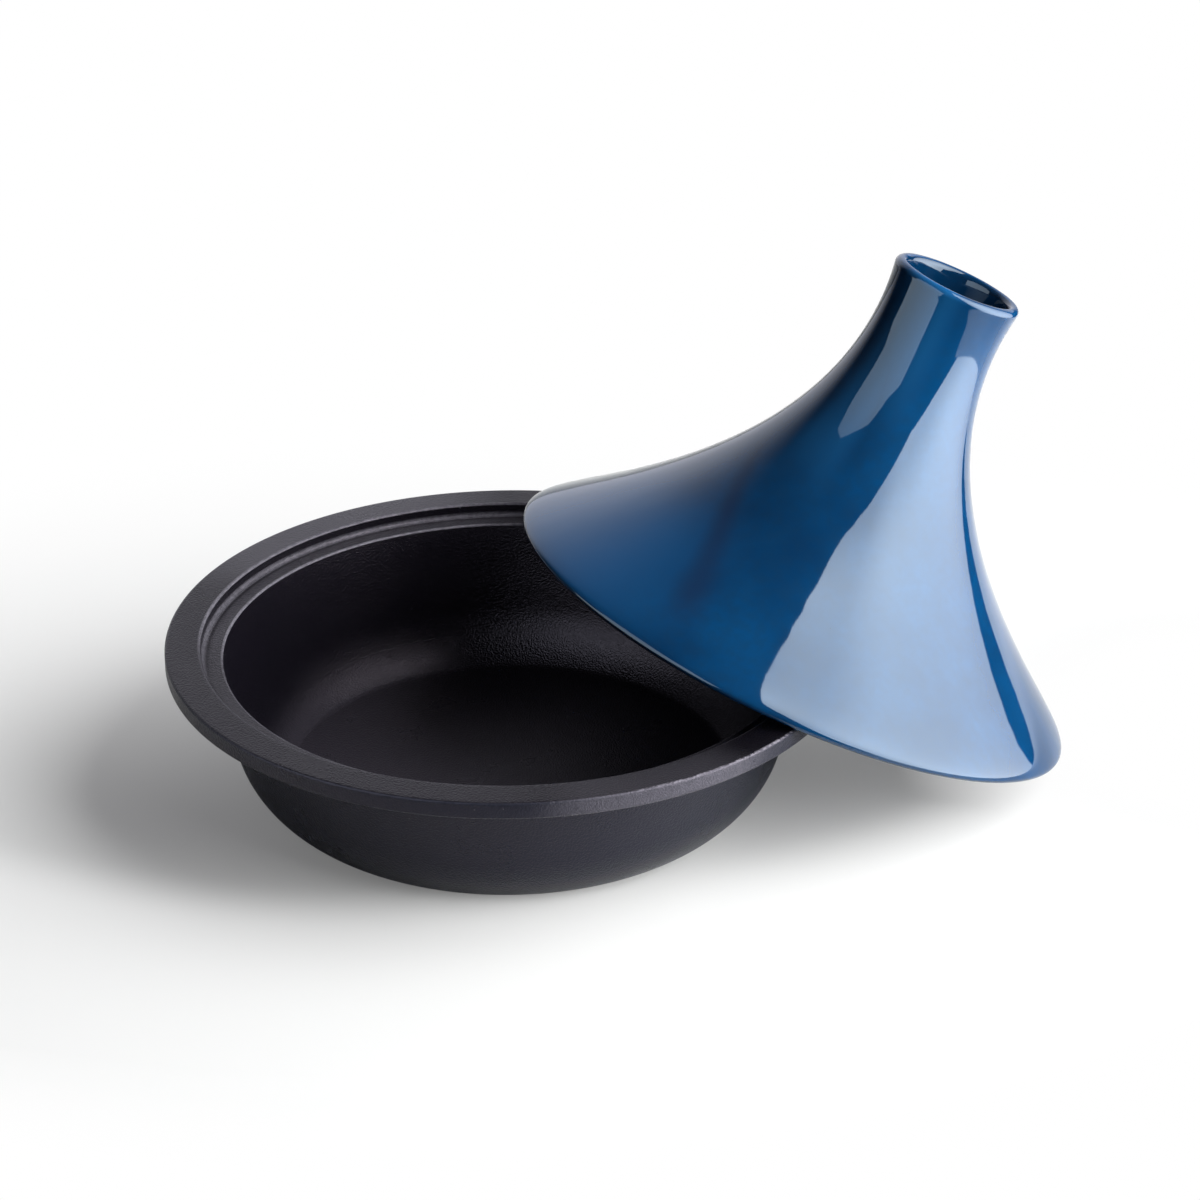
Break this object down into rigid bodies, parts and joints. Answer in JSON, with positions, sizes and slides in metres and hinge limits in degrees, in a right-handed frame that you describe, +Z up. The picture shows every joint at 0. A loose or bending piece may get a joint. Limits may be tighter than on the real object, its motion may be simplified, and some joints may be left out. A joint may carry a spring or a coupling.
{
  "type": "tagine",
  "caption": "Round cast-iron cooking dish with a wide flange and a recess, and a glazed ceramic cone lid with a hollow neck, taken off and leaning on the dish.",
  "frame": {"origin": "middle of the dish's flat foot, on the table", "axes": "+Z up, +X towards the side that the lid leans to"},
  "size_m": [0.3899, 0.29, 0.2186],
  "materials": {
    "iron": "satin black, faintly pebbled",
    "glaze": "glossy deep blue glaze, a little cloudy"
  },
  "bodies": {
    "dish": {"dish": "iron"},
    "lid": {"lid": "glaze"}
  },
  "joints": [
    {"name": "lid_lift", "type": "slide", "parent": "dish", "child": "lid", "axis": [0, 0, 1], "range_m": [0, 0.2]}
  ]
}
